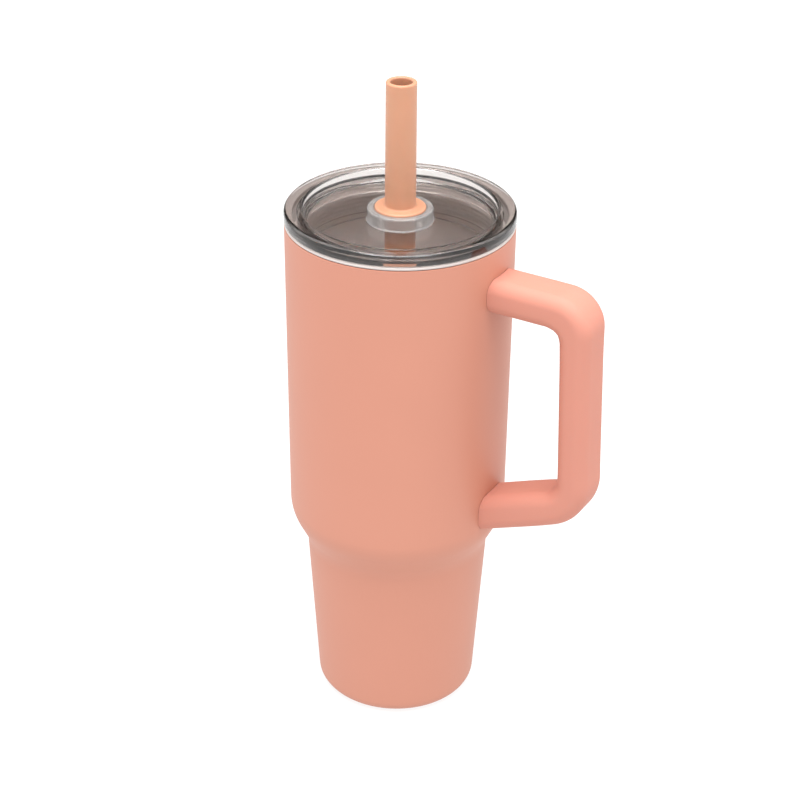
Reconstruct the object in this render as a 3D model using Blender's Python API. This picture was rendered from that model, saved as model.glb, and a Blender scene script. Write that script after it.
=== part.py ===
"""Insulated steel tumbler with a side handle, a clear press-in lid and a two-piece straw.

Metres, +Z up. The origin is on the body's axis, at the flat underside of the base, and the
handle points along +X. Turned pieces come from outlines given as (radius, height) corners.
"""

import math

import bmesh
import bpy
from mathutils import Matrix, Vector

MM = 0.001

# Clearances
GAP = 0.3 * MM             # between neighbours that touch on the real object
HANDLE_GAP = 0.4 * MM      # between the handle's ends and the shell

# Body: outside of the steel shell
MOUTH_RADIUS = 49.5 * MM
SHELL_TOP = 235.2 * MM
WALL_TAPER = 0.7 * MM
SHOULDER_TOP = 95.3 * MM
SHOULDER_DROP = 14.4 * MM
WAIST_RADIUS = 41.45 * MM
BASE_RADIUS = 36.3 * MM
SHOULDER_BEND = 22.0 * MM
WAIST_BEND = 20.0 * MM
HEEL_BEND = 5.8 * MM

# Double wall
SHELL_WALL = 0.8 * MM
VACUUM_GAP = 2.2 * MM
LINER_WALL = 0.6 * MM
LIP_HEIGHT = 1.2 * MM
LIP_EDGE = 0.45 * MM
FOOT_RING_WIDTH = 2.0 * MM

# Closed bottom
PLATE_HEIGHT = 6.2 * MM
PLATE_THICKNESS = 0.8 * MM
PLATE_DIMPLE_RADIUS = 7.0 * MM
PLATE_DIMPLE_DEPTH = 1.4 * MM
SEAL_BEAD_RADIUS = 4.0 * MM
SEAL_BEAD_HEIGHT = 1.0 * MM
BOTTOM_VACUUM = 4.2 * MM
GETTER_RADIUS = 5.0 * MM
GETTER_HEIGHT = 2.0 * MM
GETTER_OFFSET = 18.0 * MM
COVER_THICKNESS = 1.0 * MM

# Lid
FLANGE_OVERHANG = 0.1 * MM
FLANGE_HEIGHT = 5.0 * MM
FLANGE_WIDTH = 8.1 * MM
WELL_DEPTH = 5.6 * MM
WELL_BEND = 3.0 * MM
LID_FLOOR = 2.0 * MM
SKIRT_CLEARANCE = 2.0 * MM
SKIRT_WALL = 2.2 * MM
SKIRT_DEPTH = 19.4 * MM
SEAL_HEIGHT = 9.2 * MM
SEAL_FROM_SKIRT_END = 2.6 * MM
SEAL_GROOVE = 1.0 * MM
SEAL_FINS = 3
COLLAR_RADIUS = 14.1 * MM
COLLAR_HEIGHT = 5.5 * MM
SEAT_DEPTH = 1.6 * MM

# Straw
STRAW_TOP = 298.0 * MM
MOUTHPIECE_TIP_RADIUS = 6.5 * MM
MOUTHPIECE_RADIUS = 6.65 * MM
MOUTHPIECE_WALL = 1.9 * MM
MOUTHPIECE_TAIL = 22.0 * MM
STOP_RADIUS = 11.0 * MM
STOP_THICKNESS = 2.0 * MM
SOCKET_DEPTH = 12.0 * MM
TUBE_RADIUS = 5.1 * MM
TUBE_WALL = 1.0 * MM
TUBE_FLOOR_CLEARANCE = 6.0 * MM

# Handle: centre line in the XZ plane
HANDLE_WIDTH = 21.4 * MM
HANDLE_REACH = 37.7 * MM
HANDLE_LEAN = 3.3 * MM
UPPER_ARM_BELOW_TOP = 20.0 * MM
UPPER_ARM_RISE = 0.0
LOWER_ARM_ABOVE_SHOULDER = 13.0 * MM
LOWER_ARM_RISE = math.radians(21.7)
UPPER_ARM_THICKNESS = 16.0 * MM
LOWER_ARM_THICKNESS = 16.4 * MM
GRIP_THICKNESS = 14.7 * MM
HANDLE_EDGE = 6.7 * MM
UPPER_INSIDE_CORNER = 1.6 * MM
LOWER_INSIDE_CORNER = 8.6 * MM

# Handle fastening: a welded bracket inside each arm, screwed from below
BRACKET_SIDE_COVER = 5.2 * MM
BRACKET_COVER = 5.0 * MM
BRACKET_LENGTH = 15.0 * MM
SCREW_REACH = 9.0 * MM
SCREW_RADIUS = 1.6 * MM
SCREW_HEAD_RADIUS = 3.2 * MM
SCREW_HEAD_HEIGHT = 1.4 * MM
SCREW_TIP_COVER = 1.2 * MM
DRIVE_RADIUS = 1.3 * MM
DRIVE_DEPTH = 0.8 * MM
PLUG_THICKNESS = 1.0 * MM
PLUG_INSET = 0.5 * MM

# Faceting
ROUND_STEPS = 40
STRAW_STEPS = 24
SMALL_STEPS = 20
SMOOTH_ANGLE = math.radians(35)


def clear_scene():
    for obj in list(bpy.data.objects):
        bpy.data.objects.remove(obj)


def principled(name, colour, roughness, metallic=0.0):
    material = bpy.data.materials.new(name)
    material.use_nodes = True
    shader = material.node_tree.nodes["Principled BSDF"]
    shader.inputs["Base Color"].default_value = (*colour, 1.0)
    shader.inputs["Roughness"].default_value = roughness
    shader.inputs["Metallic"].default_value = metallic
    return material


def link_object(name, mesh, material=None):
    obj = bpy.data.objects.new(name, mesh)
    bpy.context.scene.collection.objects.link(obj)
    if material:
        mesh.materials.append(material)
    return obj


def as_cutter(obj):
    obj.hide_render = True
    obj.display_type = "WIRE"
    return obj


def cut(obj, cutter):
    modifier = obj.modifiers.new("cut_" + cutter.name, "BOOLEAN")
    modifier.operation = "DIFFERENCE"
    modifier.solver = "EXACT"
    modifier.object = cutter


# Outlines: corners are (radius, height, bend radius)

def bend_points(before, corner, after, bend, steps):
    """Points of the arc that rounds one corner between its two neighbours."""
    to_before = (before - corner).normalized()
    to_after = (after - corner).normalized()
    opening = to_before.angle(to_after)
    set_back = bend / math.tan(opening / 2)
    centre = corner + (to_before + to_after).normalized() * (bend / math.sin(opening / 2))
    start = corner + to_before * set_back - centre
    turn = start.angle_signed(corner + to_after * set_back - centre)
    return [centre + Matrix.Rotation(-turn * k / steps, 2) @ start for k in range(steps + 1)]


def rounded(corners, steps=4, closed=False):
    """Polyline through the corners, with an arc wherever a corner has a bend radius."""
    points = []
    for index, (radius, height, bend) in enumerate(corners):
        here = Vector((radius, height))
        at_end = not closed and index in (0, len(corners) - 1)
        if at_end or bend == 0:
            points.append(here)
            continue
        before = Vector(corners[index - 1][:2])
        after = Vector(corners[(index + 1) % len(corners)][:2])
        points.extend(bend_points(before, here, after, bend, steps))
    return points


def offset_corners(corners, inset):
    """Same open outline moved inwards by a sheet or gap thickness, bends adjusted to stay parallel."""
    flat = [Vector(corner[:2]) for corner in corners]
    shifted = []
    for start, end in zip(flat[:-1], flat[1:]):
        along = (end - start).normalized()
        inward = Vector((along.y, -along.x)) * inset
        shifted.append((start + inward, along))
    result = []
    for index, corner in enumerate(corners):
        if index == 0:
            point, along = shifted[0]
            moved = point + along * ((corner[1] - point.y) / along.y)
        elif index == len(corners) - 1:
            point, along = shifted[-1]
            moved = point + along * ((corner[0] - point.x) / along.x)
        else:
            (first, along), (second, onward) = shifted[index - 1], shifted[index]
            share = (second - first).cross(onward) / along.cross(onward)
            moved = first + along * share
        bend = corner[2]
        if 0 < index < len(corners) - 1 and bend:
            turn = (flat[index] - flat[index - 1]).cross(flat[index + 1] - flat[index])
            bend += inset if turn > 0 else -inset
        result.append((moved.x, moved.y, bend))
    return result


def turned(name, points, material, steps=ROUND_STEPS, closed=True):
    """Solid of revolution. The outline runs down its outer side, top to bottom."""
    mesh = bpy.data.meshes.new(name)
    edges = [(k, k + 1) for k in range(len(points) - 1)]
    if closed:
        edges.append((len(points) - 1, 0))
    mesh.from_pydata([(p[0], 0.0, p[1]) for p in points], edges, [])
    obj = link_object(name, mesh, material)
    screw = obj.modifiers.new("turn", "SCREW")
    screw.steps = steps
    screw.render_steps = steps
    screw.use_merge_vertices = True
    screw.merge_threshold = 0.00001
    screw.use_smooth_shade = True
    return obj


def shoulder_radius():
    return MOUTH_RADIUS - WALL_TAPER


def shell_corners():
    """Outside of the steel body, from the mouth down to the middle of the underside."""
    return [
        (MOUTH_RADIUS, SHELL_TOP, 0),
        (shoulder_radius(), SHOULDER_TOP, SHOULDER_BEND),
        (WAIST_RADIUS, SHOULDER_TOP - SHOULDER_DROP, WAIST_BEND),
        (BASE_RADIUS, 0, HEEL_BEND),
        (0, 0, 0),
    ]


def cone_radius(height):
    """Outside radius of the tapered lower body at a height above the heel bend."""
    share = height / (SHOULDER_TOP - SHOULDER_DROP)
    return BASE_RADIUS + (WAIST_RADIUS - BASE_RADIUS) * share


def foot_inner_radius():
    return BASE_RADIUS - HEEL_BEND - FOOT_RING_WIDTH


def make_outer_shell(material):
    outer = rounded(shell_corners())
    outer[-1] = Vector((foot_inner_radius(), 0))
    inner = rounded(offset_corners(shell_corners(), SHELL_WALL))
    inner[-1] = Vector((foot_inner_radius(), SHELL_WALL))
    return turned("outer_shell", outer + inner[::-1], material)


def liner_floor():
    return PLATE_HEIGHT + PLATE_THICKNESS + BOTTOM_VACUUM


def liner_corners(inset):
    """The liner follows the shell, and its floor is raised above the bottom plate."""
    corners = offset_corners(shell_corners(), inset)
    floor = liner_floor() + inset - SHELL_WALL - VACUUM_GAP
    heel_radius = cone_radius(floor) - inset
    bend = corners[3][2]
    return corners[:3] + [(heel_radius, floor, bend), (0, floor, 0)]


def lip_top():
    return SHELL_TOP + GAP + LIP_HEIGHT


def make_inner_liner(material):
    outer = rounded(liner_corners(SHELL_WALL + VACUUM_GAP))
    inner = rounded(liner_corners(SHELL_WALL + VACUUM_GAP + LINER_WALL))
    lip_bottom = SHELL_TOP + GAP
    mouth = inner[0].x
    rim = rounded([
        (mouth, SHELL_TOP, 0),
        (mouth, lip_top(), LIP_EDGE),
        (MOUTH_RADIUS, lip_top(), LIP_EDGE),
        (MOUTH_RADIUS, lip_bottom, 0),
        (outer[0].x, lip_bottom, 0),
    ], steps=3)
    points = [*inner[::-1], *rim[1:], *outer[1:]]
    return turned("inner_liner", points, material, closed=False)


def make_bottom_plate(material):
    top = PLATE_HEIGHT + PLATE_THICKNESS
    edge = cone_radius(PLATE_HEIGHT) - SHELL_WALL - GAP
    dimple_top = top + PLATE_DIMPLE_DEPTH
    inner_dimple = PLATE_DIMPLE_RADIUS - PLATE_THICKNESS
    dimple_roof = dimple_top - PLATE_THICKNESS
    points = rounded([
        (0, dimple_top, 0),
        (PLATE_DIMPLE_RADIUS, dimple_top, PLATE_THICKNESS),
        (PLATE_DIMPLE_RADIUS + PLATE_DIMPLE_DEPTH, top, 0),
        (edge, top, 0),
        (edge, PLATE_HEIGHT, 0),
        (inner_dimple + PLATE_DIMPLE_DEPTH, PLATE_HEIGHT, 0),
        (inner_dimple, dimple_roof, 0),
        (0, dimple_roof, 0),
    ], steps=2)
    return turned("bottom_plate", points, material, closed=False)


def make_seal_bead(material):
    roof = PLATE_HEIGHT + PLATE_DIMPLE_DEPTH - GAP
    corners = [
        (0, roof, 0),
        (SEAL_BEAD_RADIUS, roof, 0),
        (SEAL_BEAD_RADIUS, roof - SEAL_BEAD_HEIGHT, SEAL_BEAD_HEIGHT * 0.6),
        (0, roof - SEAL_BEAD_HEIGHT, 0),
    ]
    return turned("vacuum_seal_bead", rounded(corners, steps=3), material, SMALL_STEPS, closed=False)


def make_getter(material):
    bottom = PLATE_HEIGHT + PLATE_THICKNESS + GAP
    edge = 0.3 * MM
    corners = [
        (0, bottom + GETTER_HEIGHT, 0),
        (GETTER_RADIUS, bottom + GETTER_HEIGHT, edge),
        (GETTER_RADIUS, bottom, 0),
        (0, bottom, 0),
    ]
    obj = turned("getter_pill", rounded(corners, steps=2), material, SMALL_STEPS, closed=False)
    obj.location.y = GETTER_OFFSET
    return obj


def make_base_cover(material):
    radius = foot_inner_radius() - GAP
    corners = [
        (0, COVER_THICKNESS, 0),
        (radius, COVER_THICKNESS, 0),
        (radius, 0, 0),
        (0, 0, 0),
    ]
    return turned("base_cover", rounded(corners), material, closed=False)


def wall_radius(height):
    """Outside radius of the shell's upper wall, its taper carried straight on past the shoulder."""
    share = (height - SHOULDER_TOP) / (SHELL_TOP - SHOULDER_TOP)
    return shoulder_radius() + WALL_TAPER * share


def bore_radius(height):
    """Inside radius of the liner at a height on its upper wall."""
    return wall_radius(height) - SHELL_WALL - VACUUM_GAP - LINER_WALL


def flange_bottom():
    return lip_top() + GAP


def lid_top():
    return flange_bottom() + FLANGE_HEIGHT


def skirt_end():
    return flange_bottom() - SKIRT_DEPTH


def skirt_radius():
    return bore_radius(skirt_end()) - SKIRT_CLEARANCE


def make_lid_body(material):
    flange = MOUTH_RADIUS + FLANGE_OVERHANG
    well = flange - FLANGE_WIDTH
    well_floor = lid_top() - WELL_DEPTH
    ceiling = well_floor - LID_FLOOR
    skirt = skirt_radius()
    groove_low = skirt_end() + SEAL_FROM_SKIRT_END
    groove_high = groove_low + SEAL_HEIGHT
    groove = skirt - SEAL_GROOVE
    inside = skirt - SKIRT_WALL
    hole = MOUTHPIECE_RADIUS + GAP
    seat = STOP_RADIUS + GAP
    collar_top = well_floor + COLLAR_HEIGHT
    corners = [
        (flange, lid_top(), 1.7 * MM),
        (flange, flange_bottom(), 0.5 * MM),
        (skirt, flange_bottom(), 0),
        (skirt, groove_high, 0),
        (groove, groove_high, 0),
        (groove, groove_low, 0),
        (skirt, groove_low, 0),
        (skirt, skirt_end(), 0.8 * MM),
        (inside, skirt_end(), 0.5 * MM),
        (inside, ceiling, 1.5 * MM),
        (hole, ceiling, 0),
        (hole, collar_top - SEAT_DEPTH, 0),
        (seat, collar_top - SEAT_DEPTH, 0),
        (seat, collar_top, 0.4 * MM),
        (COLLAR_RADIUS, collar_top, 0.6 * MM),
        (COLLAR_RADIUS, well_floor, 0.6 * MM),
        (well, well_floor, WELL_BEND),
        (well, lid_top(), 1.1 * MM),
    ]
    return turned("lid_body", rounded(corners, steps=3, closed=True), material)


def make_lid_seal(material):
    low = skirt_end() + SEAL_FROM_SKIRT_END + GAP
    high = low + SEAL_HEIGHT - 2 * GAP
    inside = skirt_radius() - SEAL_GROOVE + GAP
    back = skirt_radius() + GAP
    tip = bore_radius(low) - GAP
    pitch = (high - low) / SEAL_FINS
    points = [Vector((inside, high)), Vector((back, high))]
    for fin in range(SEAL_FINS):
        top = high - fin * pitch
        points += [
            Vector((tip, top - 0.15 * pitch)),
            Vector((tip, top - 0.35 * pitch)),
            Vector((back, top - 0.6 * pitch)),
        ]
    points += [Vector((back, low)), Vector((inside, low))]
    return turned("lid_seal", points, material)


def stop_bottom():
    return lid_top() - WELL_DEPTH + COLLAR_HEIGHT - SEAT_DEPTH + GAP


def mouthpiece_end():
    return lid_top() - WELL_DEPTH - LID_FLOOR - MOUTHPIECE_TAIL


def make_mouthpiece(material):
    bore = MOUTHPIECE_TIP_RADIUS - MOUTHPIECE_WALL
    socket = TUBE_RADIUS + GAP
    stop_top = stop_bottom() + STOP_THICKNESS
    socket_top = mouthpiece_end() + SOCKET_DEPTH
    corners = [
        (MOUTHPIECE_TIP_RADIUS, STRAW_TOP, 0.8 * MM),
        (MOUTHPIECE_RADIUS, stop_top, 0.8 * MM),
        (STOP_RADIUS, stop_top, 0.8 * MM),
        (STOP_RADIUS, stop_bottom(), 0.5 * MM),
        (MOUTHPIECE_RADIUS, stop_bottom(), 0),
        (MOUTHPIECE_RADIUS, mouthpiece_end(), 0),
        (socket, mouthpiece_end(), 0),
        (socket, socket_top, 0),
        (bore, socket_top, 0),
        (bore, STRAW_TOP, 0.8 * MM),
    ]
    points = rounded(corners, steps=3, closed=True)
    return turned("straw_mouthpiece", points, material, STRAW_STEPS)


def make_straw_tube(material):
    top = mouthpiece_end() + SOCKET_DEPTH - GAP
    bottom = liner_floor() + LINER_WALL + TUBE_FLOOR_CLEARANCE
    bore = TUBE_RADIUS - TUBE_WALL
    points = [(TUBE_RADIUS, top), (TUBE_RADIUS, bottom), (bore, bottom), (bore, top)]
    return turned("straw_tube", points, material, STRAW_STEPS)


# Handle

def upper_arm_height():
    return SHELL_TOP - UPPER_ARM_BELOW_TOP


def lower_arm_height():
    return SHOULDER_TOP + LOWER_ARM_ABOVE_SHOULDER


def handle_path():
    """Centre line from inside the shell's wall, out, down and back, as (x, z) with thickness."""
    start = MOUTH_RADIUS - UPPER_ARM_THICKNESS / 2
    half_grip = GRIP_THICKNESS / 2
    grip = MOUTH_RADIUS + HANDLE_REACH
    grip_foot = grip + HANDLE_LEAN
    upper = upper_arm_height()
    lower = lower_arm_height()
    rise = math.tan(LOWER_ARM_RISE)
    corner_height = lower + (grip_foot - MOUTH_RADIUS) * rise
    corners = [
        (start, upper - (MOUTH_RADIUS - start) * math.tan(UPPER_ARM_RISE), 0),
        (grip, upper + HANDLE_REACH * math.tan(UPPER_ARM_RISE), UPPER_INSIDE_CORNER + half_grip),
        (grip_foot, corner_height, LOWER_INSIDE_CORNER + half_grip),
        (start, lower - (MOUTH_RADIUS - start) * rise, 0),
    ]
    return rounded(corners, steps=8)


def section_corners(width, thickness, edge, steps=4):
    """Rounded rectangle across the centre line, as (across, outward) pairs."""
    points = []
    for quarter in range(4):
        side = 1 if quarter in (0, 3) else -1
        outward = 1 if quarter in (0, 1) else -1
        centre = Vector((side * (width / 2 - edge), outward * (thickness / 2 - edge)))
        for k in range(steps + 1):
            angle = math.radians(90 * quarter + 90 * k / steps)
            points.append(centre + Vector((math.cos(angle), math.sin(angle))) * edge)
    return points


def handle_thickness(distance, total):
    """Arms taper into the thinner grip over the length of each arm."""
    near = distance
    far = total - distance
    arm = UPPER_ARM_THICKNESS if near < far else LOWER_ARM_THICKNESS
    share = min(1.0, min(near, far) / (HANDLE_REACH + HANDLE_LEAN))
    blend = share * share * (3 - 2 * share)
    return arm + (GRIP_THICKNESS - arm) * blend


def swept_handle():
    """Sections joined along the centre line and closed at both ends."""
    path = handle_path()
    lengths = [0.0]
    for a, b in zip(path[:-1], path[1:]):
        lengths.append(lengths[-1] + (b - a).length)
    mesh = bpy.data.meshes.new("handle")
    build = bmesh.new()
    rings = []
    for index, point in enumerate(path):
        ahead = path[min(index + 1, len(path) - 1)]
        behind = path[max(index - 1, 0)]
        along = (ahead - behind).normalized()
        outward = Vector((-along.y, along.x))
        thickness = handle_thickness(lengths[index], lengths[-1])
        edge = min(HANDLE_EDGE, 0.46 * thickness)
        ring = []
        for across, out in section_corners(HANDLE_WIDTH, thickness, edge):
            place = point + outward * out
            ring.append(build.verts.new((place.x, across, place.y)))
        rings.append(ring)
    for ring, following in zip(rings[:-1], rings[1:]):
        count = len(ring)
        for k in range(count):
            n = (k + 1) % count
            build.faces.new((ring[k], ring[n], following[n], following[k]))
    build.faces.new(rings[0][::-1])
    build.faces.new(rings[-1])
    bmesh.ops.recalc_face_normals(build, faces=build.faces)
    build.to_mesh(mesh)
    build.free()
    return mesh


def block(name, length, width, height, matrix, material=None):
    """Block that starts at local x = 0 and is centred across, placed by a matrix."""
    build = bmesh.new()
    bmesh.ops.create_cube(build, size=1.0)
    bmesh.ops.translate(build, vec=(0.5, 0, 0), verts=build.verts)
    bmesh.ops.scale(build, vec=(length, width, height), verts=build.verts)
    mesh = bpy.data.meshes.new(name)
    build.to_mesh(mesh)
    build.free()
    obj = link_object(name, mesh, material)
    obj.matrix_world = matrix
    return obj


def arm_matrix(height, rise):
    """Frame at the shell's wall: local X along the arm, local Z square to it."""
    place = Matrix.Translation((wall_radius(height), 0, height))
    return place @ Matrix.Rotation(-rise, 4, "Y")


def wall_cutter(name, clearance):
    """Solid that removes everything within a clearance of the shell's upper wall line."""
    margin = 20 * MM
    high = SHELL_TOP + margin
    low = SHOULDER_TOP - 2 * margin
    points = [
        (0, high),
        (wall_radius(high) + clearance, high),
        (wall_radius(low) + clearance, low),
        (0, low),
    ]
    return as_cutter(turned(name, points, None, closed=False))


def shell_cutter(name, clearance):
    """Solid that removes everything within a clearance of the shell itself."""
    corners = offset_corners(shell_corners(), -clearance)
    points = [Vector((0, corners[0][1])), *rounded(corners)]
    return as_cutter(turned(name, points, None, closed=False))


def bracket_width():
    return HANDLE_WIDTH - 2 * BRACKET_SIDE_COVER


def bracket_height(arm_thickness):
    return arm_thickness - 2 * BRACKET_COVER


def fastener_levels(arm_thickness):
    """Distances below the arm's centre line: screw seat, head top, head end, plug top, plug end."""
    plug_end = arm_thickness / 2 - PLUG_INSET
    plug_top = plug_end - PLUG_THICKNESS
    head_end = plug_top - GAP
    head_top = head_end - SCREW_HEAD_HEIGHT
    seat = head_top - GAP
    return seat, head_top, head_end, plug_top, plug_end


def place_along(obj, arm):
    """Put a fastener on its axis, the screw's distance out along the arm."""
    obj.matrix_world = arm @ Matrix.Translation((SCREW_REACH, 0, 0))
    return obj


def make_screw(name, arm, thickness, material):
    seat, head_top, head_end, plug_top, plug_end = fastener_levels(thickness)
    tip = bracket_height(thickness) / 2 - SCREW_TIP_COVER
    edge = 0.4 * MM
    points = [
        (0, tip),
        (SCREW_RADIUS * 0.5, tip),
        (SCREW_RADIUS, tip - SCREW_RADIUS * 0.6),
        (SCREW_RADIUS, -head_top),
        (SCREW_HEAD_RADIUS, -head_top),
        (SCREW_HEAD_RADIUS, -head_end + edge),
        (SCREW_HEAD_RADIUS - edge, -head_end),
        (DRIVE_RADIUS, -head_end),
        (DRIVE_RADIUS, -head_end + DRIVE_DEPTH),
        (0, -head_end + DRIVE_DEPTH),
    ]
    return place_along(turned(name, points, material, SMALL_STEPS, closed=False), arm)


def make_plug(name, arm, thickness, material):
    seat, head_top, head_end, plug_top, plug_end = fastener_levels(thickness)
    radius = SCREW_HEAD_RADIUS + GAP
    points = [(0, -plug_top), (radius, -plug_top), (radius, -plug_end), (0, -plug_end)]
    return place_along(turned(name, points, material, SMALL_STEPS, closed=False), arm)


def screw_hole_cutter(name, arm, thickness):
    """Counterbore for the plug and head, then a clearance hole for the shank."""
    seat = fastener_levels(thickness)[0]
    hole = SCREW_RADIUS + GAP
    bore = SCREW_HEAD_RADIUS + 2 * GAP
    outside = -thickness
    points = [(0, 0), (hole, 0), (hole, -seat), (bore, -seat), (bore, outside), (0, outside)]
    return as_cutter(place_along(turned(name, points, None, SMALL_STEPS, closed=False), arm))


def thread_hole_cutter(name, arm, thickness):
    """Blind hole in the bracket, open on its lower side."""
    hole = SCREW_RADIUS + GAP
    top = bracket_height(thickness) / 2 - SCREW_TIP_COVER + GAP
    points = [(0, top), (hole, top), (hole, -thickness), (0, -thickness)]
    return as_cutter(place_along(turned(name, points, None, SMALL_STEPS, closed=False), arm))


def make_bracket(name, arm, thickness, cutters, material):
    """Steel block welded to the shell, its root cut to the shell's curve."""
    root = 8 * MM
    matrix = arm @ Matrix.Translation((-root, 0, 0))
    length = BRACKET_LENGTH + root
    bracket = block(name, length, bracket_width(), bracket_height(thickness), matrix, material)
    bevel = bracket.modifiers.new("edges", "BEVEL")
    bevel.width = 0.8 * MM
    bevel.segments = 1
    for cutter in cutters:
        cut(bracket, cutter)
    return bracket


def pocket_cutter(name, arm, thickness):
    """Space inside the arm's end that the bracket fills."""
    root = 12 * MM
    matrix = arm @ Matrix.Translation((-root, 0, 0))
    length = BRACKET_LENGTH + root + GAP
    width = bracket_width() + 2 * GAP
    height = bracket_height(thickness) + 2 * GAP
    return as_cutter(block(name, length, width, height, matrix))


def make_handle(arms, material, fixings, steel):
    handle = link_object("handle", swept_handle(), material)
    cut(handle, wall_cutter("wall_line", HANDLE_GAP))
    shell = shell_cutter("shell_envelope", GAP)
    for side, arm, thickness in arms:
        cut(handle, pocket_cutter(side + "_pocket", arm, thickness))
        cut(handle, screw_hole_cutter(side + "_screw_hole", arm, thickness))
        thread = thread_hole_cutter(side + "_thread_hole", arm, thickness)
        make_bracket(side + "_bracket", arm, thickness, [shell, thread], steel)
        make_screw(side + "_screw", arm, thickness, fixings)
        make_plug(side + "_screw_plug", arm, thickness, material)
    handle.data.polygons.foreach_set("use_smooth", [True] * len(handle.data.polygons))
    handle.data.set_sharp_from_angle(angle=SMOOTH_ANGLE)
    return handle


def main():
    clear_scene()
    powder_coat = principled("powder_coat", (0.80, 0.35, 0.25), 0.5)
    handle_plastic = principled("handle_plastic", (0.80, 0.35, 0.25), 0.45)
    steel = principled("stainless_steel", (0.62, 0.60, 0.58), 0.3, 1.0)
    clear = principled("clear_copolyester", (0.75, 0.73, 0.72), 0.05)
    silicone = principled("seal_silicone", (0.55, 0.53, 0.52), 0.5)
    peach = principled("straw_silicone", (0.73, 0.38, 0.25), 0.45)
    tube = principled("straw_plastic", (0.73, 0.38, 0.25), 0.25)
    solder = principled("seal_solder", (0.5, 0.5, 0.5), 0.4, 1.0)
    getter = principled("getter_alloy", (0.2, 0.2, 0.21), 0.7, 0.6)

    make_outer_shell(powder_coat)
    make_inner_liner(steel)
    make_bottom_plate(steel)
    make_seal_bead(solder)
    make_getter(getter)
    make_base_cover(powder_coat)
    make_lid_body(clear)
    make_lid_seal(silicone)
    make_mouthpiece(peach)
    make_straw_tube(tube)
    arms = [
        ("upper", arm_matrix(upper_arm_height(), UPPER_ARM_RISE), UPPER_ARM_THICKNESS),
        ("lower", arm_matrix(lower_arm_height(), LOWER_ARM_RISE), LOWER_ARM_THICKNESS),
    ]
    make_handle(arms, handle_plastic, steel, steel)


main()
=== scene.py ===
# %% [markdown]
# # A steel tumbler with a clear lid, a straw and a side handle
# The cup is a double-walled steel body, powder-coated in coral on the outside. A clear
# press-in lid closes it, a two-piece straw stands in the lid's collar, and a moulded loop
# handle is screwed to two hidden brackets. The hard shapes that carry the motion are
# already there as a fixed frame. This file builds the fine visible surfaces around it and
# gives every piece the finish of the material it is made of.

# %% Load the fixed frame
import math

import bmesh
import bpy
from mathutils import Matrix, Vector


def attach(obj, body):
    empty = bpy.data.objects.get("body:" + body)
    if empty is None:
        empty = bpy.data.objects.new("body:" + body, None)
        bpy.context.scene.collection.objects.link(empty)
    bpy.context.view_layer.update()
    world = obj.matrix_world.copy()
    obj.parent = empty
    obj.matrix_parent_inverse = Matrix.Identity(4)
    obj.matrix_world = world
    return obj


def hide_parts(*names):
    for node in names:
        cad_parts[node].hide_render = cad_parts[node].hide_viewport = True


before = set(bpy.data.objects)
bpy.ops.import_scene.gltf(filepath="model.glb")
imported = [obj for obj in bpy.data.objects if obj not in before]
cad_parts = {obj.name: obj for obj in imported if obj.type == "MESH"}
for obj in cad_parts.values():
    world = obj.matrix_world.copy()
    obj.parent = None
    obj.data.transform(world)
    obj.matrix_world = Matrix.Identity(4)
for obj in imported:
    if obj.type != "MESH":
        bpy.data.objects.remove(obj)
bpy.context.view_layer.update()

print("frame nodes:", ", ".join(sorted(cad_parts)))

# %% [markdown]
# ## Sizes
# A maker's drawing gives each level and radius once. Everything below is in millimetres
# and is turned into metres in one place. Radii are measured from the cup's own axis and
# heights from the table, so a turned piece needs only pairs of those two numbers.

# %% The drawing's numbers
MM = 0.001

MOUTH_RADIUS, SHELL_TOP, WALL_TAPER = 49.5, 235.2, 0.7
SHOULDER_TOP, SHOULDER_DROP = 95.3, 14.4
WAIST_RADIUS, BASE_RADIUS = 41.45, 36.3
SHOULDER_BEND, WAIST_BEND, HEEL_BEND = 22.0, 20.0, 5.8
SHELL_WALL, LINER_OFFSET, LINER_WALL, SHEET_EDGE = 0.8, 3.0, 0.6, 0.3
LINER_FLOOR, FOOT_RADIUS, COVER_RADIUS = 11.2, 28.5, 28.2
LIP_LOW, LIP_TOP, LIP_BEND = 235.5, 236.7, 0.55
COVER_THICKNESS, COVER_RIM, COVER_STEP, COVER_BEVEL = 1.0, 3.5, 0.35, 0.5

FLANGE_RADIUS, FLANGE_LOW, LID_TOP = 49.6, 237.0, 242.0
WELL_RADIUS, WELL_FLOOR, LID_CEILING = 41.5, 236.4, 234.4
SKIRT_END, SKIRT_OUTSIDE, SKIRT_INSIDE = 217.6, 43.81, 41.61
GROOVE_LOW, GROOVE_HIGH, GROOVE_RADIUS = 220.2, 229.4, 42.81
SEAL_LOW, SEAL_HIGH, SEAL_FINS, SEAL_TEETH = 220.5, 229.1, 3, 4
SEAL_INSIDE, SEAL_BACK, SEAL_TIP = 43.11, 44.11, 45.53
SEAL_CORNER, SEAL_CREASE = 0.15, 0.1
TOOTH_DEPTH, TOOTH_MARGIN = 0.7, 0.3
HOLE_RADIUS, SEAT_RADIUS, SEAT_LEVEL = 6.95, 11.3, 240.3
COLLAR_RADIUS, COLLAR_TOP = 14.1, 241.9

STRAW_TOP, TIP_RADIUS, MOUTHPIECE_RADIUS, STRAW_BORE = 298.0, 6.5, 6.65, 4.6
STOP_RADIUS, STOP_LOW, STOP_TOP = 11.0, 240.6, 242.6
MOUTHPIECE_END, SOCKET_RADIUS, SOCKET_TOP = 212.4, 5.4, 224.4
TUBE_RADIUS, TUBE_BORE, TUBE_LOW, TUBE_TOP = 5.1, 4.1, 17.8, 224.1

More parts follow.
